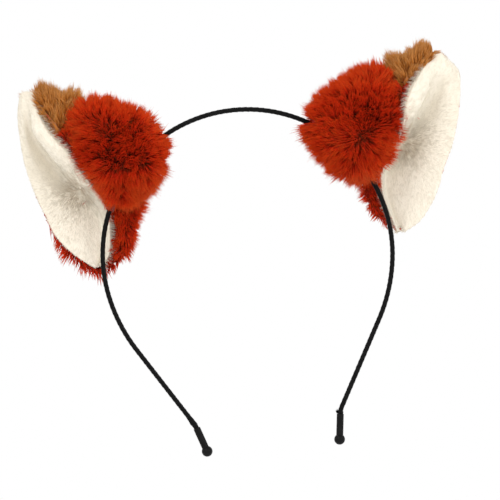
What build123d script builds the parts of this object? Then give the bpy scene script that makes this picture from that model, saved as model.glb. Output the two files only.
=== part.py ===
"""Fox-ear headband: a ribbon-wrapped spring-wire hoop that carries two plush ears.

Frame: the origin is the centre of the hoop's circle, +Z points up to the crown, -Y is the front
and +X is the wearer's left, which is the viewer's right. The hoop's centreline lies in the XZ
plane. "left" and "right" are the viewer's. Millimetres.

Every ear is drawn on the +X side, in the same frame, and the left one is mirrored afterwards.
"""

import os
from collections import namedtuple
from math import asin, cos, degrees, radians, sin

from build123d import *

# ---- the hoop --------------------------------------------------------------------------------
HOOP_RADIUS = 64.2  # centreline radius of the round part
ROUND_END = 100.0  # degrees from the crown, where the round part starts to open out
LOWER_RADIUS = 73.8  # the flatter bend between the round part and the legs
LEG_TURN = 120.4  # degrees that the wire has turned since the crown, where a leg starts
LEG_LENGTH = {"left": 41.7, "right": 42.7}
TOE_RADIUS = 8.0  # the small bend above the end sleeve
TOE_TURN = {"left": 13.5, "right": 21.5}
HINGE_ANGLE = 6.0  # degrees from the crown, where each arm flexes
HINGE_GAP = 0.5

WIRE_RADIUS = 0.7
RIBBON_BORE = 0.72
RIBBON_RADIUS = 1.05

SLEEVE_LENGTH = 9.5
SLEEVE_RADIUS = 1.55
SLEEVE_LAP = 2.0  # how far the ribbon runs into the sleeve
SLEEVE_CLEARANCE = 0.03
BALL_RADIUS = 2.4
BALL_OFFSET = 1.83  # the ball's centre is so far below the sleeve, which its flat top then matches
BALL_SOCKET_DEPTH = 2.0
WIRE_TENON = 1.5  # how far the wire runs into the ball

# ---- the ears --------------------------------------------------------------------------------
FUR_DEPTH = 7.0  # cloth backing and pile together
LINING_DEPTH = 2.6
STIFFENER_DEPTH = 1.0
GAP = 0.4  # between neighbouring soft pieces

CHANNEL_START = 33.0  # degrees from the crown
CHANNEL_END = 65.0
CHANNEL_BORE = 1.15
CHANNEL_RADIUS = 1.9
STITCH_COUNT = 5
STITCH_RING_RADIUS = 2.15
THREAD_RADIUS = 0.2

SLOT_HALF_DEPTH = 3.6  # the passage through the ear that the wire and its channel lie in
SLOT_INNER_RADIUS = 59.5
SLOT_OUTER_RADIUS = 69.0

LOBE_FOOT = 25.0  # height of the front lobe's lower edge, where the wire comes out
WIRE_SIDE = 4.6  # below the lobe, everything stays this far behind the wire's plane
WIRE_SIDE_REACH = 70.5

SCOOP_SLOPE = 0.273  # how much the lining comes forward towards its outer edge
SCOOP_WIDTH = 50.0
SCOOP_FRONT = 60.0  # how far in front of the crease the hollow's profile is drawn
CREASE_ROUND = 4.0

SEAM_STITCHES = 8
SEAM_PITCH = 5.0
SEAM_STITCH_LENGTH = 3.0
SEAM_START = 8.0  # along the crease, above its foot
SEAM_FORWARD = 20.0  # in front of the crease

FAR = 200.0

# A section is a level slice of the ear: height, inner and outer edge, front and back.
Section = namedtuple("Section", "height inner outer front back")
# An ear's crease runs from its foot to its top, and scoop_lean is how far the hollow's inner wall
# falls back towards the hoop over the depth SCOOP_FRONT.
Ear = namedtuple("Ear", "side sections crease_foot crease_top scoop_lean tip_line")

LEFT_EAR = Ear(
    side="left",
    sections=(
        Section(-3.0, 62.0, 71.0, 5.5, 13.0),
        Section(8.0, 49.0, 77.0, 4.0, 18.5),
        Section(22.0, 43.5, 84.5, -11.0, 21.0),
        Section(38.0, 32.5, 91.0, -20.5, 22.5),
        Section(55.0, 28.0, 95.5, -22.0, 22.0),
        Section(72.0, 41.0, 95.5, -18.0, 17.0),
        Section(83.5, 71.0, 89.0, -7.0, 9.0),
    ),
    crease_foot=(65.0, 10.0, 28.0),
    crease_top=(94.0, 10.0, 80.0),
    scoop_lean=18.0,
    tip_line=((57.6, 88.0), (77.3, 58.0)),
)
RIGHT_EAR = Ear(
    side="right",
    sections=(
        Section(-3.0, 62.0, 71.0, 5.5, 13.0),
        Section(8.0, 53.0, 82.0, 4.0, 18.5),
        Section(22.0, 46.0, 92.0, -11.0, 21.0),
        Section(38.0, 34.5, 100.5, -20.5, 22.5),
        Section(55.0, 30.5, 105.5, -22.0, 22.0),
        Section(72.0, 46.0, 104.0, -18.0, 17.0),
        Section(82.0, 76.0, 96.5, -7.0, 9.0),
    ),
    crease_foot=(64.0, 10.0, 28.0),
    crease_top=(101.0, 10.0, 80.0),
    scoop_lean=15.0,
    tip_line=((67.5, 88.0), (79.5, 58.0)),
)
CORE_FOOT = 31.0  # in front of the wire, the stuffing stops at this height
CORE_WIRE_SIDE = 10.0
CORE_MIN_RADIUS = 2.0

os.makedirs("parts", exist_ok=True)


def save(builder, name):
    """Name a finished piece and write it to its own file."""
    builder.part.label = name
    export_step(builder.part, f"parts/{name}.step")


def hoop_plane(angle):
    """The plane square to the wire at so many degrees from the crown, on the +X side."""
    turn = radians(angle)
    place = (HOOP_RADIUS * sin(turn), 0, HOOP_RADIUS * cos(turn))
    return Plane(origin=place, x_dir=(0, 1, 0), z_dir=(cos(turn), 0, -sin(turn)))


def mirror_to(side):
    """Turn the open block's part into its mirror image when it belongs on the left."""
    if side == "left":
        mirror(about=Plane.YZ, mode=Mode.REPLACE)


# ---- the hoop --------------------------------------------------------------------------------
GAP_ANGLE = degrees(asin(HINGE_GAP / 2 / HOOP_RADIUS))
CROWN_ANGLE = HINGE_ANGLE - GAP_ANGLE
ARM_ANGLE = HINGE_ANGLE + GAP_ANGLE

with BuildLine(Plane.XZ) as crown_line:
    CenterArc((0, 0), HOOP_RADIUS, 90 - CROWN_ANGLE, 2 * CROWN_ANGLE)

with BuildPart() as wire_core_crown:
    with BuildSketch(hoop_plane(-CROWN_ANGLE)):
        Circle(WIRE_RADIUS)
    sweep(path=crown_line.wires()[0])
save(wire_core_crown, "wire_core_crown")

with BuildPart() as ribbon_wrap_crown:
    with BuildSketch(hoop_plane(-CROWN_ANGLE)):
        Circle(RIBBON_RADIUS)
        Circle(RIBBON_BORE, mode=Mode.SUBTRACT)
    sweep(path=crown_line.wires()[0])
save(ribbon_wrap_crown, "ribbon_wrap_crown")


def arm_path(side):
    """The centreline of one half of the hoop, from the hinge gap to the top of the end sleeve."""
    with BuildLine(Plane.XZ) as line:
        shoulder = CenterArc((0, 0), HOOP_RADIUS, 90 - ARM_ANGLE, ARM_ANGLE - ROUND_END)
        lower = JernArc(shoulder @ 1, shoulder % 1, LOWER_RADIUS, ROUND_END - LEG_TURN)
        leg = PolarLine(lower @ 1, LEG_LENGTH[side], direction=lower % 1)
        JernArc(leg @ 1, leg % 1, TOE_RADIUS, TOE_TURN[side])
    return line.wires()[0]


def make_arm(side):
    """One half of the hoop: core, ribbon, end sleeve and ball tip."""
    path = arm_path(side)
    toe_plane = Plane(origin=path @ 1, x_dir=(0, 1, 0), z_dir=path % 1)

    with BuildPart() as wire_core:
        with BuildSketch(hoop_plane(ARM_ANGLE)):
            Circle(WIRE_RADIUS)
        sweep(path=path)
        with BuildSketch(toe_plane):
            Circle(WIRE_RADIUS)
        extrude(amount=SLEEVE_LENGTH + WIRE_TENON)
        mirror_to(side)
    save(wire_core, f"wire_core_{side}")

    with BuildPart() as ribbon_wrap:
        with BuildSketch(hoop_plane(ARM_ANGLE)):
            Circle(RIBBON_RADIUS)
            Circle(RIBBON_BORE, mode=Mode.SUBTRACT)
        sweep(path=path)
        with BuildSketch(toe_plane):
            Circle(RIBBON_RADIUS)
            Circle(RIBBON_BORE, mode=Mode.SUBTRACT)
        extrude(amount=SLEEVE_LAP)
        mirror_to(side)
    save(ribbon_wrap, f"ribbon_wrap_{side}")

    with BuildPart() as end_sleeve:
        with BuildSketch(toe_plane):
            Circle(SLEEVE_RADIUS)
        extrude(amount=SLEEVE_LENGTH)
        fillet(end_sleeve.edges().sort_by(Axis.Z)[-1], 0.3)
        with BuildSketch(toe_plane):
            Circle(RIBBON_RADIUS + SLEEVE_CLEARANCE)
        extrude(amount=SLEEVE_LAP + SLEEVE_CLEARANCE, mode=Mode.SUBTRACT)
        with BuildSketch(toe_plane):
            Circle(WIRE_RADIUS + SLEEVE_CLEARANCE)
        extrude(amount=SLEEVE_LENGTH, mode=Mode.SUBTRACT)
        mirror_to(side)
    save(end_sleeve, f"end_sleeve_{side}")

    sleeve_end = toe_plane.offset(SLEEVE_LENGTH + SLEEVE_CLEARANCE)
    with BuildPart() as ball_tip:
        with Locations(toe_plane.offset(SLEEVE_LENGTH + BALL_OFFSET)):
            Sphere(BALL_RADIUS)
        split(bisect_by=sleeve_end, keep=Keep.TOP)
        with BuildSketch(sleeve_end):
            Circle(WIRE_RADIUS + SLEEVE_CLEARANCE)
        extrude(amount=BALL_SOCKET_DEPTH, mode=Mode.SUBTRACT)
        mirror_to(side)
    save(ball_tip, f"ball_tip_{side}")


# ---- the shapes that an ear's pieces are cut from -----------------------------------------------
def ear_body(sections, inset):
    """The closed outer form of the ear, or a core that lies so far inside it."""
    with BuildPart() as body:
        for section in sections:
            middle = ((section.inner + section.outer) / 2, (section.front + section.back) / 2)
            half_width = (section.outer - section.inner) / 2 - inset
            half_depth = (section.back - section.front) / 2 - inset
            if min(half_width, half_depth) < CORE_MIN_RADIUS:
                continue
            with BuildSketch(Plane.XY.offset(section.height)):
                with Locations(middle):
                    Ellipse(half_width, half_depth)
        loft()
    return body.part


def crease_frame(ear):
    """The plane square to the scoop's crease: X runs outward, Y back, Z up along the crease."""
    foot = Vector(*ear.crease_foot)
    along = (Vector(*ear.crease_top) - foot).normalized()
    outward = Vector(0, 1, 0).cross(along)
    return Plane(origin=foot, x_dir=outward, z_dir=along)


def scoop(ear, growth):
    """The open hollow in front of the lining, grown by so much on all sides."""
    with BuildPart() as hollow:
        with BuildSketch(crease_frame(ear)) as profile:
            with BuildLine():
                Polyline(
                    (0, 0),
                    (SCOOP_WIDTH, -SCOOP_WIDTH * SCOOP_SLOPE),
                    (SCOOP_WIDTH, -SCOOP_FRONT),
                    (-ear.scoop_lean, -SCOOP_FRONT),
                    close=True,
                )
            make_face()
            fillet(profile.vertices().sort_by_distance((0, 0))[0], CREASE_ROUND)
            if growth:
                offset(amount=growth)
        extrude(amount=FAR / 2, both=True)
    return hollow.part


def tip_region(ear, growth):
    """Everything above the slanted seam between the rust fur and the brown tip."""
    (top_x, top_z), (foot_x, foot_z) = ear.tip_line
    with BuildPart() as region:
        with BuildSketch(Plane.XZ):
            with BuildLine():
                Polyline((foot_x, foot_z), (FAR, foot_z), (FAR, FAR), (top_x, FAR), (top_x, top_z), close=True)
            make_face()
            if growth:
                offset(amount=growth)
        extrude(amount=FAR / 2, both=True)
    return region.part


def half_space(front, height):
    """The block in front of a depth and below a height, near the wire."""
    with BuildPart() as block:
        with BuildSketch(Plane.XZ.offset(-front)):
            with Locations((WIRE_SIDE_REACH, height)):
                Rectangle(FAR, FAR, align=(Align.MAX, Align.MAX))
        extrude(amount=FAR)
    return block.part


def wire_slot():
    """The curved passage that the wire and its channel lie in."""
    with BuildPart() as passage:
        with BuildSketch(Plane.XZ):
            Circle(SLOT_OUTER_RADIUS)
            Circle(SLOT_INNER_RADIUS, mode=Mode.SUBTRACT)
        extrude(amount=SLOT_HALF_DEPTH, both=True)
    return passage.part


def seam_stitches(ear, radius, length):
    """A row of short threads along the seam between the lining and the fur."""
    frame = crease_frame(ear)
    inward = -ear.scoop_lean * SEAM_FORWARD / SCOOP_FRONT - LINING_DEPTH - GAP / 2
    with BuildPart() as threads:
        for number in range(SEAM_STITCHES):
            start = SEAM_START + number * SEAM_PITCH - (length - SEAM_STITCH_LENGTH) / 2
            with BuildSketch(frame.offset(start)):
                with Locations((inward, -SEAM_FORWARD)):
                    Circle(radius)
            extrude(amount=length)
    return threads.part


# ---- one ear -----------------------------------------------------------------------------------
def make_channel(side):
    """The felt tube round the wire and the thread rings that hold it."""
    with BuildLine(Plane.XZ) as channel_line:
        CenterArc((0, 0), HOOP_RADIUS, 90 - CHANNEL_START, CHANNEL_START - CHANNEL_END)

    with BuildPart() as felt_channel:
        with BuildSketch(hoop_plane(CHANNEL_START)):
            Circle(CHANNEL_RADIUS)
            Circle(CHANNEL_BORE, mode=Mode.SUBTRACT)
        sweep(path=channel_line.wires()[0])
        mirror_to(side)
    save(felt_channel, f"felt_channel_{side}")

    spacing = (CHANNEL_END - CHANNEL_START) / STITCH_COUNT
    with BuildPart() as anchor_stitches:
        for number in range(STITCH_COUNT):
            with Locations(hoop_plane(CHANNEL_START + (number + 0.5) * spacing)):
                Torus(STITCH_RING_RADIUS, THREAD_RADIUS)
        mirror_to(side)
    save(anchor_stitches, f"anchor_stitches_{side}")


def make_ear(ear):
    """The plush pieces of one ear, cut from one outer form so that they nest."""
    outer_form = ear_body(ear.sections, 0)
    core_room = ear_body(ear.sections, FUR_DEPTH)
    core_form = ear_body(ear.sections, FUR_DEPTH + GAP)
    hollow = scoop(ear, 0)
    lining_room = scoop(ear, LINING_DEPTH)
    behind_lining = scoop(ear, LINING_DEPTH + GAP)
    stiffener_room = scoop(ear, LINING_DEPTH + GAP + STIFFENER_DEPTH)
    behind_stiffener = scoop(ear, LINING_DEPTH + STIFFENER_DEPTH + 2 * GAP)
    tip_room = tip_region(ear, 0)
    tip_clear = tip_region(ear, GAP)
    below_lobe = half_space(WIRE_SIDE, LOBE_FOOT)
    below_core = half_space(CORE_WIRE_SIDE, CORE_FOOT)
    passage = wire_slot()
    thread_room = seam_stitches(ear, THREAD_RADIUS + GAP / 2, SEAM_STITCH_LENGTH + GAP)

    with BuildPart() as lining:
        add(outer_form)
        add(lining_room, mode=Mode.INTERSECT)
        add(hollow, mode=Mode.SUBTRACT)
        add(below_lobe, mode=Mode.SUBTRACT)
        add(passage, mode=Mode.SUBTRACT)
        add(thread_room, mode=Mode.SUBTRACT)
        mirror_to(ear.side)
    save(lining, f"lining_{ear.side}")

    with BuildPart() as stiffener:
        add(core_form)
        add(stiffener_room, mode=Mode.INTERSECT)
        add(behind_lining, mode=Mode.SUBTRACT)
        add(below_core, mode=Mode.SUBTRACT)
        add(passage, mode=Mode.SUBTRACT)
        mirror_to(ear.side)
    save(stiffener, f"stiffener_{ear.side}")

    with BuildPart() as stuffing:
        add(core_form)
        add(behind_stiffener, mode=Mode.SUBTRACT)
        add(below_core, mode=Mode.SUBTRACT)
        add(passage, mode=Mode.SUBTRACT)
        mirror_to(ear.side)
    save(stuffing, f"stuffing_{ear.side}")

    with BuildPart() as front_fur_lobe:
        add(outer_form)
        split(bisect_by=Plane.XZ.offset(GAP / 2), keep=Keep.TOP)
        split(bisect_by=Plane.XY.offset(LOBE_FOOT), keep=Keep.TOP)
        add(behind_lining, mode=Mode.SUBTRACT)
        add(core_room, mode=Mode.SUBTRACT)
        add(tip_clear, mode=Mode.SUBTRACT)
        add(passage, mode=Mode.SUBTRACT)
        add(thread_room, mode=Mode.SUBTRACT)
        mirror_to(ear.side)
    save(front_fur_lobe, f"front_fur_lobe_{ear.side}")

    with BuildPart() as back_fur_panel:
        add(outer_form)
        split(bisect_by=Plane.XZ.offset(-GAP / 2), keep=Keep.BOTTOM)
        add(below_lobe, mode=Mode.SUBTRACT)
        add(behind_lining, mode=Mode.SUBTRACT)
        add(core_room, mode=Mode.SUBTRACT)
        add(tip_clear, mode=Mode.SUBTRACT)
        add(passage, mode=Mode.SUBTRACT)
        mirror_to(ear.side)
    save(back_fur_panel, f"back_fur_panel_{ear.side}")

    with BuildPart() as tip_fur_patch:
        add(outer_form)
        add(tip_room, mode=Mode.INTERSECT)
        add(behind_lining, mode=Mode.SUBTRACT)
        add(core_room, mode=Mode.SUBTRACT)
        add(thread_room, mode=Mode.SUBTRACT)
        mirror_to(ear.side)
    save(tip_fur_patch, f"tip_fur_patch_{ear.side}")

    with BuildPart() as seam_thread:
        add(seam_stitches(ear, THREAD_RADIUS, SEAM_STITCH_LENGTH))
        mirror_to(ear.side)
    save(seam_thread, f"seam_thread_{ear.side}")


for side in ("left", "right"):
    make_arm(side)
    make_channel(side)

for ear in (LEFT_EAR, RIGHT_EAR):
    make_ear(ear)
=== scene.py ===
"""Looks of the fox-ear headband: a satin-wrapped wire hoop and two plush ears.

Shapes are worked out in millimetres on the +X side, with x outward from the hoop's middle, -y to
the front and z up, and put_in() mirrors them for the ear on the -X side and turns them to metres.
"""

import math
from collections import namedtuple

import bpy
import numpy as np
from mathutils import Matrix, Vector
from mathutils.bvhtree import BVHTree


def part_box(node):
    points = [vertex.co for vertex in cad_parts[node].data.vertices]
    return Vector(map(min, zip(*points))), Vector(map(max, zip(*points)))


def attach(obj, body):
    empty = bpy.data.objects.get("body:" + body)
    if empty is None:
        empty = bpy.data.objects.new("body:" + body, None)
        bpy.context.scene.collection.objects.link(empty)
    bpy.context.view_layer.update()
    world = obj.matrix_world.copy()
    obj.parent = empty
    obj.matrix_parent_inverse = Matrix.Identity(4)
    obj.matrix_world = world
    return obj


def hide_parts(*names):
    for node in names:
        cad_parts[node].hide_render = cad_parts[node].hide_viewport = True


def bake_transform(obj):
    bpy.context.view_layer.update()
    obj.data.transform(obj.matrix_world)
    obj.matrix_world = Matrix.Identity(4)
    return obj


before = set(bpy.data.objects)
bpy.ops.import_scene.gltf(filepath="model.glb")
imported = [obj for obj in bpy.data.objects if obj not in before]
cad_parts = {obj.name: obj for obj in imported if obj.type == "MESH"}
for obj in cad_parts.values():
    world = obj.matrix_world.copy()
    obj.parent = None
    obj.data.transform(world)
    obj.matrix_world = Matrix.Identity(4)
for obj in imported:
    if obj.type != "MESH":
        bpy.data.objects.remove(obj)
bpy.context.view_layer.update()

MM = 0.001
SIDES = {"left": -1, "right": 1}

# ---- the hoop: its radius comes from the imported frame, and its legs are as in the CAD ----------------
RIBBON_RADIUS = 1.05
ARM_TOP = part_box("ribbon_wrap_right")[1] / MM
HOOP_RADIUS = ARM_TOP.x - RIBBON_RADIUS
ROUND_END = math.radians(100)
LOWER_RADIUS = 73.8
LEG_TURN = math.radians(120.4)
LEG_LENGTH = {"left": 41.7, "right": 42.7}
TOE_RADIUS = 8.0
TOE_TURN = {"left": math.radians(13.5), "right": math.radians(21.5)}
SLEEVE_LAP = 2.0
RIBBON_PITCH = 2.6
RIBBON_LAP = 0.13
RIBBON_SINK = 0.05
RIBBON_STEP = 0.22
RIBBON_SPOKES = 20
# where the ribbon's end is wound over itself: how far above the sleeve, over what length, how thick
RIBBON_END = {"left": (2.6, 2.4, 0.42), "right": (0.7, 0.9, 0.35)}

# ---- the room that the wire needs in an ear: to the skin, the fill, the back and the hairs -----------
SKIN_ROOM = 3.6
FILL_ROOM = 4.2
BACK_ROOM = 3.4
HAIR_ROOM = 2.0
# a hair this near to the hoop's line, and in front of this y, hides the wire
OVER_WIRE = 1.5
BEFORE_WIRE = 2

# ---- the camera's picture --------------------------------------------------------------------------
VIEW_WIDTH = 221.5
VIEW_MIDDLE = (1.3, 1.75)
VIEW_ROLL = math.radians(7.43)
VIEW_DISTANCE = 1200.0
SENSOR = 36.0

# lobe, tip, tip_back and back outline the cloths under the pile, as (x, z) points, and each has the
# middle of its cushion. The lobe's pile fans out from whorl, the tip's from tip_foot and the back's
# from back_middle. parting is how far out along the hoop the lobe's pile leaves the wire in view.
# rim, crease and edge are the lining's three guide lines from the ear's foot to its tip, as (x, y, z):
# the seam with the fur, the bottom of the scoop, and the free outer edge. band is how far the roll
# along the seam is puffed up. recess is where the nap is longest and given painted shade, in the
# scoop, and recess_nap how much longer. fringe lists (height, how far the back's pile shows past the
# lining's free edge).
Ear = namedtuple(
    "Ear",
    "side lobe lobe_middle whorl tip tip_middle tip_foot tip_back tip_back_middle back back_middle "
    "parting rim crease edge band recess recess_nap fringe",
)

LEFT = Ear(
    side="left",
    lobe=((61, 73), (51, 70), (41, 64.5), (34, 58), (33, 51), (36, 43.5), (42, 36.5), (48, 33),
          (53, 33), (58, 37.5), (64.5, 45.5), (69.5, 54.5), (70, 62), (66, 69.5)),
    lobe_middle=(49, 51),
    whorl=(47, 46),
    tip=((83, 79.5), (79.5, 82), (75.5, 79), (72.5, 76), (69, 78.5), (66.5, 75.5), (69.5, 67.5),
         (74.5, 59.5), (79.5, 68)),
    tip_middle=(73.5, 71),
    tip_foot=(74, 60),
    tip_back=((67.5, 75), (72, 68), (78, 60.5), (85, 59), (91, 59), (92, 68), (91, 75), (87.5, 79.5),
              (80, 79.5), (72, 77.5)),
    tip_back_middle=(81, 70),
    back=((62, 73), (54, 71), (46, 67), (39, 62), (34.5, 56), (34.5, 50), (38, 42), (45.5, 32), (49.5, 22),
          (52, 12), (57.5, 5.5), (63, 2), (69, 2), (74.5, 6.5), (80, 13), (85.5, 24), (89.5, 40), (91, 56),
          (84, 57.5), (77.5, 58.5), (72, 66), (67, 73)),
    back_middle=(66, 42),
    parting=31,
    rim=((65.5, 6, 3), (60.8, 7, 9), (59.3, 7, 20), (59.5, 3, 29), (63, -5, 36.5), (68.3, -11, 45),
         (73.6, -15, 56), (80, -13, 65), (83.3, -8, 73.5), (84.5, -2.5, 83.5)),
    crease=((66, 8, 4), (64.5, 9, 11), (64, 9.5, 20), (65.5, 9.5, 29), (70.5, 9.5, 37), (77, 8.5, 46.5),
            (83, 5.5, 56), (87.5, 0, 66), (88, -5, 75), (88, -3, 84)),
    edge=((68, 6, 2.8), (73.5, 5, 7.5), (78.5, 4, 13), (83.3, 3, 20.5), (86, 2.5, 28.5), (89.3, 2, 38.5),
          (92, 1, 50), (93, 0, 62), (92.7, -1, 74), (90.5, -2, 83)),
    band=(0, 0, 0, 0.3, 0.6, 0.9, 1.1, 0.9, 0.2, 0),
    recess=(70, 38),
    recess_nap=1.4,
    fringe=((3, 9), (12, 6), (18, 3), (24, 0.3), (78, 0), (83, 2)),
)
RIGHT = Ear(
    side="right",
    lobe=((69.5, 70), (63, 71), (54, 67.5), (45, 63), (38, 58), (35.5, 52), (39, 44), (44, 37),
          (47, 31.5), (53, 30), (59.5, 31.5), (66, 37.5), (72.3, 45), (74.5, 53), (73.5, 61)),
    lobe_middle=(56, 50),
    whorl=(57, 42),
    tip=((92.5, 76), (88, 78.5), (83.5, 76), (79.5, 73), (75.5, 75.5), (74, 72), (76, 66), (79, 59.5),
         (85, 67.5)),
    tip_middle=(81, 70.5),
    tip_foot=(80, 59),
    tip_back=((74, 74), (77, 67), (81.5, 60.5), (91, 60), (100, 59.5), (101, 66), (99.5, 71.5),
              (94, 74), (87, 75), (80, 75.5)),
    tip_back_middle=(89, 68),
    back=((69, 73), (61, 72), (53, 69), (45, 63.5), (38.5, 57), (37, 50), (41, 43), (48, 35), (56, 28),
          (57, 18), (59.5, 10.5), (64.5, 5), (70, 5), (76.5, 8.5), (83, 15), (89, 24), (95.5, 37),
          (99, 50), (100, 56), (90, 57.5), (80, 58.5), (76, 66), (73, 72)),
    back_middle=(74, 42),
    parting=35.5,
    rim=((67.5, 6, 1), (65.5, 7, 9), (63.3, 7, 19), (63.3, 3, 27), (67, -4, 33.5), (72, -10, 41),
         (76, -14, 50), (78.5, -16, 59.5), (85.3, -11, 69), (92.3, -3.5, 77)),
    crease=((69, 8, 3), (67, 9, 11), (66, 9.5, 20), (67, 9.5, 27.5), (70.5, 9.5, 35), (76, 8.5, 43),
            (82.5, 6, 51), (90, 0.5, 60), (95, -6, 69), (95, -4.5, 77)),
    edge=((70.5, 6, 1), (77.5, 5.5, 5), (83.3, 5, 12), (87.3, 4, 19), (90.5, 3, 27), (95.5, 2, 36.5),
          (99.5, 1, 48), (102.3, 0, 60), (102.5, -1, 69), (96.5, -2.5, 77)),
    band=(0, 0, 0, 0, 0.2, 0.4, 0.7, 0.9, 0.2, 0),
    recess=(74, 41),
    recess_nap=2.4,
    fringe=((10, -0.5), (20, 0), (45, 0.4), (60, 0.5), (70, 0), (76, 1)),
)


# ---- curves and meshes ------------------------------------------------------------------------------
FLAT = np.array([1, 0, 1])
BACKWARD = np.array([0.0, 1.0, 0.0])
FULLNESS = 0.8


def smooth(points, count, closed=False):
    """So many points on the smooth curve through the given ones, end to end or all the way round."""
    points = np.asarray(points, float)
    last = len(points)
    if closed:
        place = np.arange(count) / count * last
    else:
        place = np.linspace(0, last - 1, count)
    span = np.floor(place).astype(int)
    if not closed:
        span = np.minimum(span, last - 2)
    part = (place - span)[:, None]

    def at(offset):
        index = span + offset
        if closed:
            return points[index % last]
        low = 2 * points[0] - points[1]
        high = 2 * points[-1] - points[-2]
        reach = np.vstack([low, points, high])
        return reach[index + 1]

    a, b, c, d = at(-1), at(0), at(1), at(2)
    return 0.5 * (
        2 * b + (c - a) * part + (2 * a - 5 * b + 4 * c - d) * part**2 + (3 * b - a - 3 * c + d) * part**3
    )


def triangles(faces):
    """Quads and triangles as triangles alone."""
    faces = np.asarray(faces)
    if faces.shape[1] == 3:
        return faces
    split = np.vstack([faces[:, [0, 1, 2]], faces[:, [0, 2, 3]]])
    return split[split[:, 1] != split[:, 2]]


def corner_normals(points, faces):
    """The smooth normal at each point."""
    tri = triangles(faces)
    face = np.cross(points[tri[:, 1]] - points[tri[:, 0]], points[tri[:, 2]] - points[tri[:, 0]])
    normals = np.zeros_like(points)
    for corner in range(3):
        np.add.at(normals, tri[:, corner], face)
    return normals / np.maximum(np.linalg.norm(normals, axis=1, keepdims=True), 1e-9)


def grid_faces(rows, columns, wrap=False):
    """Quads between the rows of a grid of points, closed round each row if it wraps."""
    reach = columns if wrap else columns - 1
    row, column = np.meshgrid(np.arange(rows - 1), np.arange(reach), indexing="ij")
    corner = row * columns + column
    beside = row * columns + (column + 1) % columns
    quad = (corner, beside, beside + columns, corner + columns)
    return np.stack([index.ravel() for index in quad], axis=1)


def put_in(name, points, faces, side, material, smooth_faces=True):
    """Make the mesh object, in metres, mirrored on the left side; its faces keep looking outward."""
    points = np.asarray(points, float) * (SIDES[side] * MM, MM, MM)
    faces = np.asarray(faces)
    if SIDES[side] < 0:
        faces = faces[:, ::-1]
    mesh = bpy.data.meshes.new(name)
    mesh.from_pydata(points.tolist(), [], [tuple(dict.fromkeys(face)) for face in faces.tolist()])
    mesh.polygons.foreach_set("use_smooth", [smooth_faces] * len(mesh.polygons))
    mesh.materials.append(material)
    piece = bpy.data.objects.new(name, mesh)
    bpy.context.scene.collection.objects.link(piece)
    return piece


def pillow(outline, middle, base, front, back, rings=14, spokes=88):
    """A closed cushion over an outline in the XZ plane, domed so far in front of and behind its base."""
    around = smooth(outline, spokes, closed=True)
    points = [(middle[0], base - front, middle[1])]
    for ring in range(1, 2 * rings):
        angle = math.pi * ring / (2 * rings)
        reach = math.sin(angle) ** FULLNESS
        lift = abs(math.cos(angle)) ** FULLNESS
        depth = base - front * lift if angle < math.pi / 2 else base + back * lift
        flat = np.asarray(middle) + (around - middle) * reach
        points.extend((x, depth, z) for x, z in flat)
    points.append((middle[0], base + back, middle[1]))
    points = np.array(points, float)
    faces = grid_faces(2 * rings - 1, spokes, wrap=True) + 1
    next_spoke = (np.arange(spokes) + 1) % spokes
    spoke = np.arange(spokes)
    first = np.stack([np.zeros(spokes, int), next_spoke + 1, spoke + 1, spoke + 1], axis=1)
    start = 1 + (2 * rings - 2) * spokes
    pole = np.full(spokes, len(points) - 1)
    last = np.stack([pole, start + spoke, start + next_spoke, start + next_spoke], axis=1)
    faces = np.vstack([faces, first, last])
    return points, facing_out(points, faces)


def facing_out(points, faces):
    """The same faces, turned round if the closed form that they make is inside out."""
    tri = triangles(faces)
    volume = np.einsum("ij,ij->", points[tri[:, 0]], np.cross(points[tri[:, 1]], points[tri[:, 2]]))
    return faces if volume > 0 else faces[:, ::-1]


def from_wire(points):
    """(offset, distance) of points from the round part of the wire's centreline."""
    radius = np.hypot(points[..., 0], points[..., 2])
    away = np.stack([radius - HOOP_RADIUS, points[..., 1]], axis=-1)
    return away, np.linalg.norm(away, axis=-1)


def clear_wire(points, room):
    """Move points that are nearer to the wire than the room it needs straight away from it."""
    away, distance = from_wire(points)
    factor = np.where(distance < room, room / np.maximum(distance, 0.2), 1.0)
    away = away * factor[:, None]
    radius = np.hypot(points[:, 0], points[:, 2])
    scale = (HOOP_RADIUS + away[:, 0]) / np.maximum(radius, 1e-6)
    near = distance < room
    moved = points.copy()
    moved[near, 0] *= scale[near]
    moved[near, 2] *= scale[near]
    moved[near, 1] = away[near, 1]
    return moved


# ---- pile ------------------------------------------------------------------------------------------
# how much shorter and longer, thinner and thicker than asked for a hair may be
LENGTH_SPREAD = (0.75, 1.12)
WIDTH_SPREAD = (0.75, 1.2)
# a hair's rings of points: their widths, where round it their corners are, and a flattened one's depth
RING_WIDTHS = (1.0, 0.8)
CORNERS = tuple(corner * 2 * math.pi / 3 for corner in range(3))
FLATTENED = 0.3
# how many of its middle hair's lengths out a lock's tip is, and how a bend grows along a hair
LOCK_REACH = 1.05
BEND_POWER = 1.7
# how many waves make up a drift
WAVES = 7


def scatter(points, faces, count, rng, favour=None):
    """Random places spread over a surface, evenly or as favour weighs each place, with its normals."""
    tri = triangles(faces)
    normals = corner_normals(points, faces)
    a, b, c = points[tri[:, 0]], points[tri[:, 1]], points[tri[:, 2]]
    share = np.linalg.norm(np.cross(b - a, c - a), axis=1)
    if favour is not None:
        share = share * favour((a + b + c) / 3)
    pick = rng.choice(len(tri), size=count, p=share / share.sum())
    u, v = rng.random(count), rng.random(count)
    over = u + v > 1
    u[over], v[over] = 1 - u[over], 1 - v[over]
    weights = np.stack([1 - u - v, u, v], axis=1)[:, :, None]
    place = (points[tri[pick]] * weights).sum(axis=1)
    normal = (normals[tri[pick]] * weights).sum(axis=1)
    return place, unit(normal)


def unit(vectors):
    """The same directions at length one."""
    return vectors / np.maximum(np.linalg.norm(vectors, axis=-1, keepdims=True), 1e-9)


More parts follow.
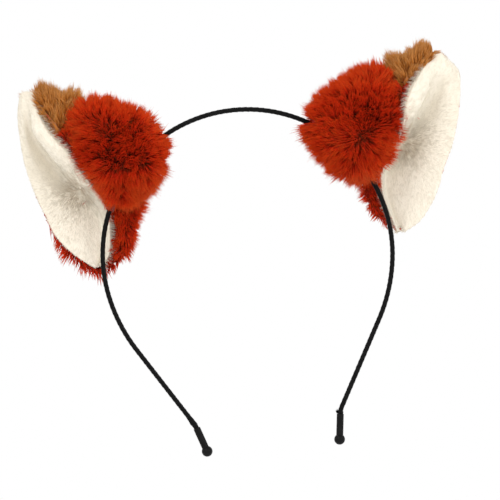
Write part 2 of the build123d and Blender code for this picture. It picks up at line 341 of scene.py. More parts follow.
def nearest(places, centres):
    """For each place, the index of the closest centre."""
    best = np.zeros(len(places), int)
    for start in range(0, len(places), 2000):
        gap = places[start:start + 2000, None, :] - centres[None, :, :]
        best[start:start + 2000] = (gap**2).sum(axis=2).argmin(axis=1)
    return best


def drift(places, wavelength, rng):
    """A smooth random direction at each place, that changes over about a wavelength."""
    total = np.zeros_like(places)
    for _ in range(WAVES):
        wave = unit(rng.normal(size=3)) * 2 * math.pi / (wavelength * rng.uniform(0.7, 1.5))
        total += np.sin(places @ wave + rng.uniform(0, 2 * math.pi))[:, None] * rng.normal(size=3)
    return total / WAVES


def pile(name, side, roots, ways, rng, lengths, width, material, lock=14, gather=0.45, stray=0.2,
         droop=0.05, levels=(0.0, 0.5), curl=None, keep=None, painted_shade=None, over=None):
    """Tapered hairs, each a closed three-sided spike; neighbours lean together into locks.

    lock is the number of hairs to a lock, gather how far they lean to its tip, stray how much each
    hair goes its own way and droop how far it sags. levels says where along it a hair has a ring of
    points. curl takes the hairs' tips and says how far they bend from there. keep takes the hairs'
    points, from root to tip, and says which hairs stay. standing is how far each hair is darkened
    with painted shade, and by default how far it stands out to the front. over gives the normals of
    the cloth that flattened hairs lie over.
    """
    count = len(roots)
    ways = unit(ways + rng.normal(0, stray, ways.shape))
    leaders = rng.choice(count, max(count // lock, 1), replace=False)
    mine = leaders[nearest(roots, roots[leaders])]
    apart = np.linalg.norm(roots - roots[mine], axis=1)
    lengths = lengths * rng.uniform(*LENGTH_SPREAD, count) * (1.1 - 0.25 * apart / apart.mean())
    lock_tip = roots[mine] + ways[mine] * (lengths[mine] * LOCK_REACH)[:, None]
    bends = gather * (lock_tip - roots - ways * lengths[:, None])
    bends[:, 2] -= droop * lengths
    if curl is not None:
        bends += curl(roots + ways * lengths[:, None] + bends)
    widths = width * rng.uniform(*WIDTH_SPREAD, count)

    across = unit(np.cross(ways, unit(rng.normal(size=ways.shape)) if over is None else over))
    beside = np.cross(ways, across) * (1.0 if over is None else FLATTENED)
    rings = []
    for level, thick in zip(levels, RING_WIDTHS):
        centre = roots + ways * (lengths * level)[:, None] + bends * level**BEND_POWER
        for turn in CORNERS:
            offset = across * math.cos(turn) + beside * math.sin(turn)
            rings.append(centre + offset * (widths * thick / 2)[:, None])
    tip = roots + ways * lengths[:, None] + bends
    middle = roots + ways * (lengths / 2)[:, None] + bends * 0.5**BEND_POWER
    hairs = np.stack([*rings, tip], axis=1)
    spine = np.stack([roots, middle, tip], axis=1)
    stay = from_wire(spine)[1].min(axis=1) > HAIR_ROOM
    if keep is not None:
        stay &= keep(spine)
    # painted shade: by default each hair is darkened as far as it points to the front, for the shade among
    # a pile's roots
    if painted_shade is None:
        painted_shade = np.maximum(-ways[:, 1], 0)
    hairs, mine, painted_shade = hairs[stay], mine[stay], painted_shade[stay]
    count = len(hairs)

    last = 3 * len(levels)
    pattern = [(0, 2, 1, 1)]
    for corner in range(3):
        beyond = (corner + 1) % 3
        for ring in range(0, last - 3, 3):
            pattern.append((ring + corner, ring + beyond, ring + 3 + beyond, ring + 3 + corner))
        pattern.append((last - 3 + corner, last - 3 + beyond, last, last))
    faces = (np.arange(count)[:, None, None] * (last + 1) + np.array(pattern)[None]).reshape(-1, 4)
    piece = put_in(name, hairs.reshape(-1, 3), faces, side, material, smooth_faces=over is None)

    along = np.tile([*np.repeat(levels, 3), 1.0], count)
    tint = np.repeat(rng.random(count), last + 1)
    lock_tint = np.repeat(rng.random(len(roots))[mine], last + 1)
    # the alpha channel carries the painted shade, as one less how far each hair is darkened
    colour = np.stack([along, tint, lock_tint, 1 - np.repeat(painted_shade, last + 1)], axis=1)
    shade = piece.data.color_attributes.new("pile", "FLOAT_COLOR", "POINT")
    shade.data.foreach_set("color", colour.ravel())
    return piece


# ---- materials --------------------------------------------------------------------------------------
def new_material(name, roughness, **sockets):
    """A Principled material whose even values sit on the shader's own sockets."""
    material = bpy.data.materials.new(name)
    material.use_nodes = True
    shader = material.node_tree.nodes["Principled BSDF"]
    shader.inputs["Roughness"].default_value = roughness
    for socket, value in sockets.items():
        shader.inputs[socket.replace("_", " ")].default_value = value
    return material, material.node_tree, shader


def ramp(tree, stops):
    """A colour ramp with stops of (place, colour)."""
    node = tree.nodes.new("ShaderNodeValToRGB")
    elements = node.color_ramp.elements
    while len(elements) < len(stops):
        elements.new(0.5)
    for element, (place, colour) in zip(elements, stops):
        element.position = place
        element.color = (*colour, 1)
    return node


def multiply(tree, first, second, factor=1.0):
    """One colour output times another."""
    node = tree.nodes.new("ShaderNodeMix")
    node.data_type = "RGBA"
    node.blend_type = "MULTIPLY"
    node.inputs[0].default_value = factor
    tree.links.new(first, node.inputs[6])
    tree.links.new(second, node.inputs[7])
    return node.outputs[2]


def noise(tree, scale, detail=4.0, roughness=0.55):
    """Noise in the piece's own coordinates, at so many waves to the metre."""
    place = tree.nodes.new("ShaderNodeTexCoord")
    node = tree.nodes.new("ShaderNodeTexNoise")
    node.inputs["Scale"].default_value = scale
    node.inputs["Detail"].default_value = detail
    node.inputs["Roughness"].default_value = roughness
    tree.links.new(place.outputs["Object"], node.inputs["Vector"])
    return node.outputs["Fac"]


def grey(tree, value, low, high):
    """A value from 0 to 1 as a grey between two levels."""
    node = ramp(tree, ((0.0, (low,) * 3), (1.0, (high,) * 3)))
    tree.links.new(value, node.inputs["Fac"])
    return node.outputs["Color"]


def pile_material(name, stops, patch, vary=0.2, roughness=0.75, glow=(1.0, 1.0, 1.0), sheen=0.2,
                  deep=None):
    """Fur: colour runs from root to tip, and differs from hair to hair, lock to lock and patch to patch.

    As far as each hair's shade in the pile attribute asks, deep multiplies the colour: painted shade, by
    default on hairs that stand straight out to the front, for the shade among a pile's roots.
    """
    material, tree, shader = new_material(
        name, roughness, Sheen_Weight=sheen, Sheen_Tint=(*glow, 1), Specular_IOR_Level=0.08
    )
    hair = tree.nodes.new("ShaderNodeAttribute")
    hair.attribute_name = "pile"
    parts = tree.nodes.new("ShaderNodeSeparateColor")
    tree.links.new(hair.outputs["Color"], parts.inputs["Color"])
    colour = ramp(tree, stops)
    tree.links.new(parts.outputs["Red"], colour.inputs["Fac"])
    shade = multiply(tree, colour.outputs["Color"], grey(tree, parts.outputs["Green"], 1 - vary, 1.0))
    shade = multiply(tree, shade, grey(tree, parts.outputs["Blue"], 1 - vary, 1.0))
    shade = multiply(tree, shade, grey(tree, noise(tree, patch), 1 - vary, 1.0))
    # painted shade: a ramp from deep to white, read off the attribute's alpha, darkens each hair
    if deep:
        painted_shade = ramp(tree, ((0.0, deep), (0.75, (1, 1, 1))))
        tree.links.new(hair.outputs["Alpha"], painted_shade.inputs["Fac"])
        shade = multiply(tree, shade, painted_shade.outputs["Color"])
    tree.links.new(shade, shader.inputs["Base Color"])
    return material


def cloth_material(name, dark, light, scale, bump, roughness=0.85, sheen=0.4):
    """Short-napped cloth: mottled colour and a fine raised grain."""
    material, tree, shader = new_material(name, roughness, Sheen_Weight=sheen, Specular_IOR_Level=0.2)
    colour = ramp(tree, ((0.3, dark), (0.7, light)))
    tree.links.new(noise(tree, scale), colour.inputs["Fac"])
    tree.links.new(colour.outputs["Color"], shader.inputs["Base Color"])
    relief = tree.nodes.new("ShaderNodeBump")
    relief.inputs["Strength"].default_value = bump
    relief.inputs["Distance"].default_value = 0.0003
    tree.links.new(noise(tree, scale * 12, 6.0, 0.7), relief.inputs["Height"])
    tree.links.new(relief.outputs["Normal"], shader.inputs["Normal"])
    return material


def glossy_material(name, dark, light, roughness_low, roughness_high, scale, shine=0.5):
    """Satin, rubber or steel: a faint mottling of colour and gloss with a fine grain."""
    material, tree, shader = new_material(name, roughness_low, Specular_IOR_Level=shine)
    colour = ramp(tree, ((0.35, dark), (0.75, light)))
    tree.links.new(noise(tree, scale), colour.inputs["Fac"])
    tree.links.new(colour.outputs["Color"], shader.inputs["Base Color"])
    gloss = tree.nodes.new("ShaderNodeMapRange")
    gloss.inputs["To Min"].default_value = roughness_low
    gloss.inputs["To Max"].default_value = roughness_high
    tree.links.new(noise(tree, scale * 3), gloss.inputs["Value"])
    tree.links.new(gloss.outputs["Result"], shader.inputs["Roughness"])
    relief = tree.nodes.new("ShaderNodeBump")
    relief.inputs["Strength"].default_value = 0.35
    relief.inputs["Distance"].default_value = 0.0001
    tree.links.new(noise(tree, scale * 8), relief.inputs["Height"])
    tree.links.new(relief.outputs["Normal"], shader.inputs["Normal"])
    return material


# deep here is painted shade: rust hairs that point to the front are darkened and reddened, for the shade
# among the pile's roots
RUST_PILE = pile_material(
    "rust_pile",
    ((0.0, (0.46, 0.006, 0.0)), (0.5, (0.72, 0.021, 0.0005)), (1.0, (0.96, 0.095, 0.006))),
    patch=90,
    vary=0.16,
    glow=(1.0, 0.35, 0.12),
    deep=(0.80, 0.36, 0.3),
)
BROWN_PILE = pile_material(
    "brown_pile",
    ((0.0, (0.38, 0.10, 0.008)), (0.5, (0.60, 0.20, 0.028)), (1.0, (0.84, 0.38, 0.11))),
    patch=90,
    vary=0.16,
    glow=(1.0, 0.6, 0.3),
)
# deep here is painted shade: brownish grey on nap hairs in the scoop's recess, where shade falls
CREAM_PILE = pile_material(
    "cream_pile",
    ((0.0, (0.76, 0.69, 0.57)), (0.5, (0.78, 0.72, 0.60)), (1.0, (0.80, 0.745, 0.635))),
    patch=60,
    vary=0.04,
    deep=(0.70, 0.54, 0.42),
)
RUST_CLOTH = cloth_material("rust_cloth", (0.36, 0.008, 0.0), (0.50, 0.014, 0.001), 400, 0.6, sheen=0)
BROWN_CLOTH = cloth_material("brown_cloth", (0.34, 0.10, 0.010), (0.48, 0.16, 0.02), 400, 0.6)
CREAM_CLOTH = cloth_material("cream_cloth", (0.80, 0.73, 0.61), (0.83, 0.765, 0.645), 150, 0.3)
FILL = cloth_material("polyester_fibre", (0.72, 0.72, 0.70), (0.88, 0.88, 0.86), 300, 0.8)
INTERFACING = cloth_material("interfacing_felt", (0.70, 0.70, 0.68), (0.84, 0.84, 0.82), 500, 0.5)
FELT = cloth_material("channel_felt", (0.20, 0.012, 0.003), (0.34, 0.03, 0.006), 600, 0.7)
THREAD = cloth_material("sewing_thread", (0.34, 0.03, 0.006), (0.5, 0.07, 0.02), 900, 0.6)
SATIN = glossy_material("satin_ribbon", (0.002,) * 3, (0.006,) * 3, 0.35, 0.5, 700, shine=0.07)
RUBBER = glossy_material("black_rubber", (0.003,) * 3, (0.008,) * 3, 0.38, 0.55, 500, shine=0.1)
STEEL = glossy_material("spring_steel", (0.35, 0.35, 0.36), (0.5, 0.5, 0.51), 0.3, 0.45, 900)


# ---- the hoop ---------------------------------------------------------------------------------------
def arm_path(side):
    """Points and headings down one half of the hoop, from the crown's middle into the end sleeve."""
    step = RIBBON_STEP
    # each stretch's length and curvature
    bends = (
        (HOOP_RADIUS * ROUND_END, 1 / HOOP_RADIUS),
        (LOWER_RADIUS * (LEG_TURN - ROUND_END), 1 / LOWER_RADIUS),
        (LEG_LENGTH[side], 0),
        (TOE_RADIUS * TOE_TURN[side], -1 / TOE_RADIUS),
        (SLEEVE_LAP, 0),
    )
    ends = np.cumsum([length for length, _ in bends])
    runs = np.arange(0, ends[-1] + step, step)
    bend = np.minimum(np.searchsorted(ends, runs + step / 2), len(bends) - 1)
    curving = np.array([curvature for _, curvature in bends])[bend]
    headings = np.concatenate([[0], np.cumsum(curving * step)[:-1]])
    middle = headings + curving * step / 2
    moves = step * np.stack([np.cos(middle), -np.sin(middle)], axis=1)
    places = np.array([0, HOOP_RADIUS]) + np.vstack([[0, 0], np.cumsum(moves, axis=0)[:-1]])
    return runs, places, headings


def ribbon_half(side):
    """The satin ribbon over one half of the hoop: each turn laps over the one before."""
    around = RIBBON_SPOKES
    runs, places, headings = arm_path(side)
    above, spread, thick = RIBBON_END[side]
    wound = thick * np.exp(-(((runs[-1] - SLEEVE_LAP - above - runs) / spread) ** 2))
    wound[runs > runs[-1] - SLEEVE_LAP] = 0
    turn = np.arange(around) * 2 * math.pi / around
    phase = (runs[:, None] / RIBBON_PITCH + turn / (2 * math.pi)) % 1.0
    lap = RIBBON_LAP * phase**1.5
    radius = RIBBON_RADIUS + lap - RIBBON_SINK + wound[:, None] * (0.65 + 0.35 * np.cos(turn))
    across = radius * np.cos(turn)
    points = np.stack([
        places[:, 0:1] + np.sin(headings)[:, None] * across,
        radius * np.sin(turn),
        places[:, 1:2] + np.cos(headings)[:, None] * across,
    ], axis=-1).reshape(-1, 3)
    faces = grid_faces(len(runs), around, wrap=True)
    caps = []
    for start in (0, (len(runs) - 1) * around):
        centre = len(points)
        points = np.vstack([points, points[start:start + around].mean(axis=0)])
        spoke = np.arange(around)
        beyond = (spoke + 1) % around
        cap = np.stack([np.full(around, centre), start + beyond, start + spoke, start + spoke], axis=1)
        caps.append(cap if start == 0 else cap[:, [0, 2, 1, 1]])
    faces = facing_out(points, np.vstack([faces, *caps]))
    piece = put_in(f"ribbon_{side}", points, faces, side, SATIN)
    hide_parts(f"ribbon_wrap_{side}", "ribbon_wrap_crown")
    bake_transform(piece)


def ribbon_fray(side, rng):
    """The cut end of the ribbon: a few threads that stick out above the sleeve."""
    runs, places, headings = arm_path(side)
    above_sleeve, count = 0.8, 26
    top = np.searchsorted(runs, runs[-1] - SLEEVE_LAP - above_sleeve)
    inward = -np.array([math.sin(headings[top]), 0, math.cos(headings[top])])
    back_up = -np.array([math.cos(headings[top]), 0, -math.sin(headings[top])])
    roots = np.array([places[top][0], 0, places[top][1]]) + 0.9 * inward + rng.normal(0, 0.35, (count, 3))
    ways = inward + 0.7 * back_up + rng.normal(0, 0.4, (count, 3))
    piece = pile(
        f"ribbon_fray_{side}", side, roots, ways, rng, lengths=1.7, width=0.22, material=SATIN, lock=9,
    )
    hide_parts(f"ribbon_wrap_{side}")
    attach(piece, f"arm_{side}")


# ---- the ears ---------------------------------------------------------------------------------------
SHEET_ROWS, SHEET_COLUMNS = 72, 44
PLUSH_DEPTH = 1.4
INTERFACING_DEPTH = 0.6
INTERFACING_BEHIND = 1.7
# the interfacing's part of the lining's sheet: it stops short of the ends, the seam and the free edge
INNER_SHEET = (slice(6, -6), slice(8, -12))
# the sheet's columns between which hairs stand up along the seam, and its share before the free edge
SEAM_COLUMNS = (2, 7)
BEFORE_EDGE = 0.72
# the area over which the recess, with its long nap and the painted shade on it, fades out
RECESS_AREA = 80.0
# the fill is the lobe's cushion shrunk by so much towards a point at this y
FILL_SHARE = (0.84, 0.9, 0.84)
FILL_CENTRE = -6.0

# How a cushion lies behind the lining: FACE_GAP and LEAST_GAP are how far off the lining's face it is,
# usually and at least, and only the face's points within FACE_REACH count for the least gap. The face
# is averaged with weights that fall off over FACE_AVERAGE, and it covers a place where they add up to
# COVERED.
FACE_GAP = 2.8
LEAST_GAP = 1.0
FACE_REACH = 2.6
FACE_AVERAGE = 12.0
COVERED = 10.0

# how many hairs are sown on each cloth, and their lengths
LOBE_HAIRS, LOBE_LENGTH = 21500, 8.5
TIP_FRONT_HAIRS, TIP_REAR_HAIRS, TIP_LENGTH = 3500, 4600, 7.0
BACK_HAIRS, BACK_LENGTH, BACK_SHORT_LENGTH = 14500, 8.0, 6.0
NAP_HAIRS, NAP_LENGTH = 14500, 1.3
SEAM_HAIRS, SEAM_HAIR_LENGTH = 1000, 3.2

# How the lining's free edge holds the pile in: hairs that start within TURNED_NEAR of it are turned to
# the back, but stand at least TURNED_RISE off their cloth. Of what then reaches past the fringe,
# BENT_BACK is bent back, and a hair that still ends PAST_FRINGE outside it is left out.
TURNED_NEAR = 14
TURNED_RISE = 0.15
BENT_BACK = 0.85
PAST_FRINGE = 0.8

# the lobe's pile grows in front of its rear, and from its flank it doesn't hang over the lining
LOBE_REAR = 1.0
LOBE_FLANK = -12.5
# beside the wire, from this x inward and over this distance, the back panel comes so far forward
BACK_DIP_FROM, BACK_DIP_OVER, BACK_DIP = 58, 12, 5.0
# the back's pile is denser where it shows below the lobe, under this x, y and z
BELOW_LOBE = (66, 9, 31)
DENSER = 2.6
# and it is short under this x and z
SHORT_UNDER = (64, 27)
# behind the lining it grows neither so far inside the free edge nor below this height
HIDDEN_INSIDE = 8
HIDDEN_BELOW = 8


def lining_sheet(ear):
    """The lining's front as a grid of points: rolled band along the seam, scoop, and outer flap."""
    rim = smooth(ear.rim, SHEET_ROWS)
    crease = smooth(ear.crease, SHEET_ROWS)
    edge = smooth(ear.edge, SHEET_ROWS)
    band = smooth(np.array(ear.band, float)[:, None], SHEET_ROWS)
    tucked = rim + (-0.6, 3.5, 0)
    puffed = rim * 0.6 + crease * 0.4 + band * (3.4, -4.6, 0.4)
    flap = crease * 0.45 + edge * 0.55 + (0.4, -1.2, 0)
    turned = edge + (0.3, 1.4, 0)
    under = edge + (-1.4, 2.3, 0)
    guides = np.stack([tucked, rim, puffed, crease, flap, edge, turned, under], axis=1)
    return np.stack([smooth(row, SHEET_COLUMNS) for row in guides])


def shell(front, depth):
    """A closed shell behind a grid of points, as (points, faces)."""
    rows, columns, _ = front.shape
    flat = front.reshape(-1, 3)
    faces = grid_faces(rows, columns)
    normals = corner_normals(flat, faces)
    back = flat - normals * depth
    count = len(flat)
    inner = faces[:, ::-1] + count
    ring = np.concatenate([
        np.arange(columns),
        np.arange(1, rows) * columns + columns - 1,
        (rows - 1) * columns + np.arange(columns - 2, -1, -1),
        np.arange(rows - 2, 0, -1) * columns,
    ])
    beyond = np.roll(ring, -1)
    wall = np.stack([beyond, ring, ring + count, beyond + count], axis=1)
    points = np.vstack([flat, back])
    return points, np.vstack([faces, inner, wall])


def cut_of(sheet):
    """What a cloth of this shape is cut to: its width and length, and its area, in metres."""
    width = np.linalg.norm(np.diff(sheet, axis=1), axis=2).sum(axis=1).max()
    length = np.linalg.norm(np.diff(sheet, axis=0), axis=2).sum(axis=0).max()
    down, across = sheet[1:, :-1] - sheet[:-1, :-1], sheet[:-1, 1:] - sheet[:-1, :-1]
    area = np.linalg.norm(np.cross(down, across), axis=2).sum()
    return (float(width * MM), float(length * MM)), float(area * MM**2)


def lie(ways, normals, rise):
    """The same directions laid along the surface, and standing off it by so much."""
    along = ways - (ways * normals).sum(axis=1)[:, None] * normals
    return unit(unit(along) + rise[:, None] * normals)


def fan(roots, normals, middle, lean, rise=0.0):
    """Hair directions: off the surface, leaning away from a middle point, and up by so much."""
    away = (roots - np.array([middle[0], 0, middle[1]])) * FLAT
    return unit(normals + lean * unit(away) + np.array([0, 0, rise]))


def follow_lining(points, sheet, level):
    """Set a cushion made about y = 0 behind the lining, along its back, and at a level elsewhere."""
    flat = sheet.reshape(-1, 3)
    moved = points.copy()
    for start in range(0, len(points), 1000):
        part = points[start:start + 1000]
        gap = np.hypot(part[:, None, 0] - flat[None, :, 0], part[:, None, 2] - flat[None, :, 2])
        weight = np.exp(-(gap**2) / FACE_AVERAGE)
        total = weight.sum(axis=1)
        share = np.clip(total / COVERED, 0, 1)
        depth = (weight * flat[None, :, 1]).sum(axis=1) / np.maximum(total, 1e-6) + FACE_GAP
        base = share * depth + (1 - share) * level
        rearmost = np.where(gap < FACE_REACH, flat[None, :, 1], -100.0).max(axis=1)
        offset = part[:, 1]
        least = rearmost + LEAST_GAP + np.maximum(offset, 0)
        moved[start:start + 1000, 1] = np.maximum(base + offset, least)
    return moved


def lining_tree(sheet, seam):
    """The lining's face from the column at its seam to the free edge, for finding what meets it."""
    rows, columns, _ = sheet.shape
    faces = grid_faces(rows, columns)
    column = faces[:, 0] % columns
    faces = faces[(column > seam) & (column < BEFORE_EDGE * columns)]
    return BVHTree.FromPolygons(sheet.reshape(-1, 3).tolist(), faces.tolist())


def meets(tree, starts, moves, reach=None):
    """Whether each move from a start, or as far as reach in its direction, meets the tree's surface."""
    moves = np.broadcast_to(moves, starts.shape)
    reaches = np.linalg.norm(moves, axis=1) if reach is None else np.full(len(starts), reach)
    casts = zip(starts.tolist(), moves.tolist(), reaches.tolist())
    return np.array([tree.ray_cast(start, move, far)[0] is not None for start, move, far in casts])


def on_own_side(ear, sheet, seam):
    """A test of hairs: none is in the scoop, or comes near the lining's face from behind, or goes past
    its edge."""
    tree = lining_tree(sheet, seam)

    def test(hairs):
        root, middle, tip = hairs[:, 0], hairs[:, 1], hairs[:, 2]
        kept = past_edge(ear, tip)[0] < PAST_FRINGE
        kept &= ~meets(tree, root, middle - root)
        kept &= ~meets(tree, middle, 1.15 * (tip - middle))
        return kept & ~meets(tree, root, BACKWARD, reach=60)

    return test


def ear_lobe(ear, sheet, rng):
    """The big front lobe: cloth over the stuffing, and its long rust pile."""
    points, faces = pillow(ear.lobe, ear.lobe_middle, base=-1.5, front=14.0, back=3.5)
    points = clear_wire(points, SKIN_ROOM)
    skin = put_in(f"front_lobe_cloth_{ear.side}", points, faces, ear.side, RUST_CLOTH)
    roots, normals = scatter(points, faces, LOBE_HAIRS, rng)
    shows = roots[:, 1] < LOBE_REAR
    roots, normals = roots[shows], normals[shows]
    ways = fan(roots, normals, ear.whorl, lean=0.38) + 1.4 * drift(roots, 13, rng)
    tree = lining_tree(sheet, seam=8)

    def off_lining(hairs):
        root, tip = hairs[:, 0], hairs[:, 2]
        over_wire = np.abs(np.hypot(hairs[..., 0], hairs[..., 2]) - HOOP_RADIUS) < OVER_WIRE
        before_wire = (hairs[..., 0] < ear.parting) & (hairs[..., 1] < BEFORE_WIRE)
        hides_wire = (over_wire & before_wire).any(axis=1)
        on_flank = root[:, 1] > LOBE_FLANK
        hangs_over = on_flank & meets(tree, tip, BACKWARD, reach=18)
        return ~hides_wire & ~hangs_over & ~meets(tree, root, tip - root)

    # the lobe's hairs take the default painted shade, darker where they point to the front
    hair = pile(
        f"front_lobe_pile_{ear.side}", ear.side, roots, ways, rng, LOBE_LENGTH, width=0.46,
        material=RUST_PILE, lock=24, gather=0.4, stray=0.26, keep=off_lining,
    )
    for piece in (skin, hair):
        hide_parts(f"front_fur_lobe_{ear.side}")

    inside, inside_faces = pillow(ear.lobe, ear.lobe_middle, base=-4.5, front=9.0, back=0.5)
    centre = np.array([ear.lobe_middle[0], FILL_CENTRE, ear.lobe_middle[1]])
    inside = clear_wire(centre + (inside - centre) * FILL_SHARE, FILL_ROOM)
    fill = put_in(f"fibre_fill_{ear.side}", inside, inside_faces, ear.side, FILL)
    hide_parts(f"stuffing_{ear.side}")
    return [skin, hair, fill]


def past_edge(ear, places):
    """How far places are past the lining's free edge and the fringe that shows there, and the way out."""
    above_tip = np.add(ear.rim[-1], (-1.5, 0, 8))
    edge = smooth((*ear.edge, ear.rim[-1], above_tip), 170) * FLAT
    flat = places * FLAT
    close = edge[nearest(flat, edge)]
    gap = close - flat
    middle = np.array([ear.back_middle[0], 0, ear.back_middle[1]])
    inside = np.where((gap * (close - middle)).sum(axis=1) > 0, 1.0, -1.0)
    fringe = np.interp(places[:, 2], *zip(*ear.fringe))
    return -np.linalg.norm(gap, axis=1) * inside - fringe, unit(gap) * inside[:, None]


def curl_in(ear):
    """A bend for hairs that reach past the fringe at the lining's free edge: back to it."""
    def bend(tips):
        past, outward = past_edge(ear, tips)
        return -BENT_BACK * np.maximum(past, 0)[:, None] * outward

    return bend


def hold_in(ear, roots, normals, ways, length):
    """Turn hairs near the lining's free edge to the back, and off the cloth, to stay in the fringe."""
    past, outward = past_edge(ear, roots)
    limit = np.clip(-past / length, -0.3, 1)
    excess = np.maximum((ways * outward).sum(axis=1) - limit, 0) * (np.abs(past) < TURNED_NEAR)
    turned = unit(ways + excess[:, None] * (BACKWARD - outward))
    sunk = np.minimum((turned * normals).sum(axis=1) - TURNED_RISE, 0) * (excess > 0)
    return unit(turned - sunk[:, None] * normals)


def ear_tip(ear, sheet, rng):
    """The brown patch: a wedge in front, between the rust and the lining, and the back of the tip."""
    front, front_faces = pillow(
        ear.tip, ear.tip_middle, base=-1.0, front=8.0, back=4.0, rings=10, spokes=56,
    )
    rear, rear_faces = pillow(
        ear.tip_back, ear.tip_back_middle, base=0.0, front=2.5, back=6.0, rings=10, spokes=72,
    )
    rear = follow_lining(rear, sheet, level=6.0)
    points = np.vstack([front, rear])
    faces = np.vstack([front_faces, rear_faces + len(front)])
    skin = put_in(f"tip_cloth_{ear.side}", points, faces, ear.side, BROWN_CLOTH)

    front_roots, front_normals = scatter(front, front_faces, TIP_FRONT_HAIRS, rng)
    front_ways = fan(front_roots, 0.5 * front_normals, ear.tip_foot, lean=0.9, rise=0.5)
    rear_roots, rear_normals = scatter(rear, rear_faces, TIP_REAR_HAIRS, rng)
    behind = rear_normals[:, 1] > -0.3
    rear_roots, rear_normals = rear_roots[behind], rear_normals[behind]
    rear_ways = fan(rear_roots, rear_normals, ear.tip_foot, lean=0.5, rise=0.3)
    roots = np.vstack([front_roots, rear_roots])
    ways = np.vstack([front_ways, rear_ways]) + 0.45 * drift(roots, 9, rng)
    normals = np.vstack([front_normals, rear_normals])
    ways = hold_in(ear, roots, normals, ways, TIP_LENGTH)
    hair = pile(
        f"tip_pile_{ear.side}", ear.side, roots, ways, rng, TIP_LENGTH, width=0.42,
        material=BROWN_PILE, lock=20, gather=0.4, stray=0.22, droop=0, curl=curl_in(ear),
        keep=on_own_side(ear, sheet, seam=9),
    )
    for piece in (skin, hair):
        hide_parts(f"tip_fur_patch_{ear.side}")
    return [skin, hair]


def ear_back(ear, sheet, rng):
    """The back panel, whose pile also shows below the lobe and past the lining's lower edge."""
    points, faces = pillow(
        ear.back, ear.back_middle, base=0.0, front=2.5, back=7.0, rings=12, spokes=110,
    )
    points = follow_lining(points, sheet, level=8.5)
    points[:, 1] -= BACK_DIP * np.clip((BACK_DIP_FROM - points[:, 0]) / BACK_DIP_OVER, 0, 1)
    points = clear_wire(points, BACK_ROOM)
    skin = put_in(f"back_cloth_{ear.side}", points, faces, ear.side, RUST_CLOTH)

    def favour(places):
        return np.where((places < BELOW_LOBE).all(axis=1), DENSER, 1.0)

    roots, normals = scatter(points, faces, BACK_HAIRS, rng, favour)
    covered = meets(lining_tree(sheet, seam=0), roots, -BACKWARD, reach=7)
    inner = (past_edge(ear, roots)[0] < -HIDDEN_INSIDE) | (roots[:, 2] < HIDDEN_BELOW)
    hidden = covered & (normals[:, 1] < -0.2) & inner
    roots, normals = roots[~hidden], normals[~hidden]
    ways = fan(roots, normals, ear.back_middle, lean=0.35, rise=-0.15) + 0.7 * drift(roots, 16, rng)
    ways = hold_in(ear, roots, normals, ways, BACK_LENGTH)
    short = (roots[:, [0, 2]] < SHORT_UNDER).all(axis=1)
    lengths = np.where(short, BACK_SHORT_LENGTH, BACK_LENGTH)
    # the back's hairs take the default painted shade, darker where they point to the front
    hair = pile(
        f"back_pile_{ear.side}", ear.side, roots, ways, rng, lengths, width=0.49,
        material=RUST_PILE, lock=20, gather=0.32, stray=0.26, curl=curl_in(ear),
        keep=on_own_side(ear, sheet, seam=5),
    )
    for piece in (skin, hair):
        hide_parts(f"back_fur_panel_{ear.side}")
    return [skin, hair]


def ear_lining(ear, sheet, rng):
    """The cream scoop: plush cloth, its short nap with painted shade in the recess, and the interfacing
    behind it.
    """
    points, faces = shell(sheet, PLUSH_DEPTH)
    cloth = put_in(f"lining_cloth_{ear.side}", points, faces, ear.side, CREAM_CLOTH)
    flat = sheet.reshape(-1, 3)
    rows, columns, _ = sheet.shape
    front_faces = grid_faces(rows, columns)
    column = front_faces[:, 0] % columns
    seam_cells = (column > SEAM_COLUMNS[0]) & (column < SEAM_COLUMNS[1])
    nap_roots, nap_normals = scatter(flat, front_faces, NAP_HAIRS, rng)
    spread = (nap_roots[:, 0] - ear.recess[0])**2 + (nap_roots[:, 2] - ear.recess[1])**2
    deep = np.exp(-spread / RECESS_AREA)
    nap_ways = fan(nap_roots, 0, ear.recess, lean=0.9, rise=-0.1) + 0.2 * drift(nap_roots, 14, rng)
    nap_ways = lie(nap_ways, nap_normals, 0.05 + 0.4 * deep)
    seam_roots, seam_normals = scatter(flat, front_faces[seam_cells], SEAM_HAIRS, rng)
    seam_ways = unit(0.8 * seam_normals + (-0.7, -0.2, -0.3) + 0.3 * drift(seam_roots, 10, rng))
    roots = np.vstack([nap_roots, seam_roots])
    ways = np.vstack([nap_ways, seam_ways])
    nap_lengths = NAP_LENGTH + 1.4 * ear.recess_nap * deep
    lengths = np.concatenate([nap_lengths, np.full(len(seam_roots), SEAM_HAIR_LENGTH)])
    # painted shade: nap hairs near the recess are darkened, at random and more the nearer they are, for
    # the shade in the scoop; the seam's hairs get none
    shaded = np.concatenate([deep * rng.random(len(deep))**1.5, np.zeros(len(seam_roots))])
    nap = pile(
        f"lining_nap_{ear.side}", ear.side, roots, ways, rng, lengths, width=0.25,
        material=CREAM_PILE, lock=8, gather=0, stray=0.05, droop=0, levels=(0.0,), painted_shade=shaded,
        over=np.vstack([nap_normals, seam_normals]),
    )
    for piece in (cloth, nap):
        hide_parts(f"lining_{ear.side}")

    normals = corner_normals(flat, front_faces).reshape(sheet.shape)
    behind = (sheet - normals * INTERFACING_BEHIND)[INNER_SHEET]
    points, faces = shell(behind, INTERFACING_DEPTH)
    stiff = put_in(f"interfacing_{ear.side}", points, faces, ear.side, INTERFACING)
    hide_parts(f"stiffener_{ear.side}")
    flat, area = cut_of(sheet)
    flat, area = cut_of(sheet[INNER_SHEET])
    return [cloth, nap, stiff]


def make_ear(ear, seed):
    """All the pieces of one ear, riding on its body."""
    rng = np.random.default_rng(seed)
    sheet = lining_sheet(ear)
    for make in (ear_lobe, ear_tip, ear_back, ear_lining):
        for piece in make(ear, sheet, rng):
            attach(piece, f"ear_{ear.side}")


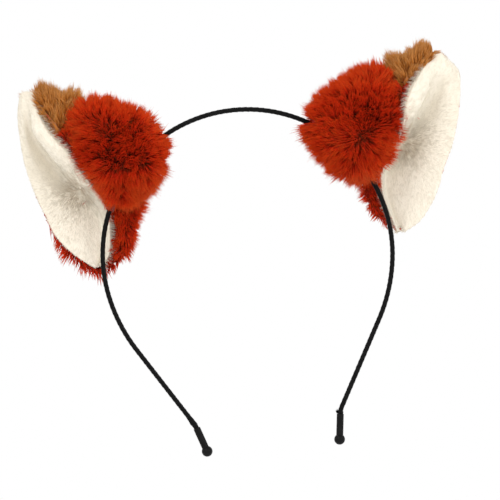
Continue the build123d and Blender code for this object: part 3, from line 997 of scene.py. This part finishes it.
# ---- the studio --------------------------------------------------------------------------------------
def make_camera():
    """Straight at the front, rolled a little, framed on the hoop's plane."""
    data = bpy.data.cameras.new("camera")
    data.sensor_width = SENSOR
    data.lens = SENSOR * VIEW_DISTANCE / VIEW_WIDTH
    data.clip_end = 10
    camera = bpy.data.objects.new("camera", data)
    bpy.context.scene.collection.objects.link(camera)
    right = (math.cos(VIEW_ROLL), 0, -math.sin(VIEW_ROLL))
    up = (math.sin(VIEW_ROLL), 0, math.cos(VIEW_ROLL))
    back = (0, -1, 0)
    turn = Matrix((right, up, back)).transposed().to_4x4()
    place = Matrix.Translation((VIEW_MIDDLE[0] * MM, -VIEW_DISTANCE * MM, VIEW_MIDDLE[1] * MM))
    camera.matrix_world = place @ turn
    bpy.context.scene.camera = camera


def area_light(name, place, size, power):
    """A soft box that faces the object."""
    data = bpy.data.lights.new(name, "AREA")
    data.size = size
    data.energy = power
    light = bpy.data.objects.new(name, data)
    bpy.context.scene.collection.objects.link(light)
    light.location = place
    light.rotation_euler = (-light.location).to_track_quat("-Z", "Y").to_euler()


def make_studio():
    """A plain white floor under the object, white surroundings and two soft boxes."""
    world = bpy.data.worlds.new("studio")
    world.use_nodes = True
    sky = world.node_tree.nodes["Background"]
    sky.inputs["Color"].default_value = (1, 1, 1, 1)
    sky.inputs["Strength"].default_value = 1.0
    bpy.context.scene.world = world
    bpy.context.scene.view_settings.view_transform = "Standard"
    area_light("key", place=(-0.5, -1.0, 0.8), size=0.5, power=4.6)
    area_light("fill", place=(0.8, -0.7, 0.3), size=0.6, power=3.2)

    floor_height = -0.25
    reach = 1.3
    mesh = bpy.data.meshes.new("floor")
    corners = [(-reach, -reach), (reach, -reach), (reach, reach), (-reach, reach)]
    mesh.from_pydata([(x, y, floor_height) for x, y in corners], [], [(0, 1, 2, 3)])
    material, tree, shader = new_material("floor_paint", 0.9)
    colour = ramp(tree, ((0.0, (0.96, 0.96, 0.96)), (1.0, (0.98, 0.98, 0.98))))
    tree.links.new(noise(tree, 3), colour.inputs["Fac"])
    tree.links.new(colour.outputs["Color"], shader.inputs["Base Color"])
    mesh.materials.append(material)
    floor = bpy.data.objects.new("floor", mesh)
    bpy.context.scene.collection.objects.link(floor)


def dress_cad_nodes():
    """Better materials for the CAD nodes that show as they are."""
    looks = {"wire_core": STEEL, "end_sleeve": RUBBER, "ball_tip": RUBBER, "felt_channel": FELT,
             "anchor_stitches": THREAD, "seam_thread": THREAD}
    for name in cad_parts:
        for start, material in looks.items():
            if name.startswith(start):
                for holder in bpy.data.objects[name].material_slots:
                    holder.material = material


make_camera()
make_studio()
dress_cad_nodes()
for half in SIDES:
    ribbon_half(half)
ribbon_fray("right", np.random.default_rng(5))
make_ear(LEFT, 11)
make_ear(RIGHT, 12)
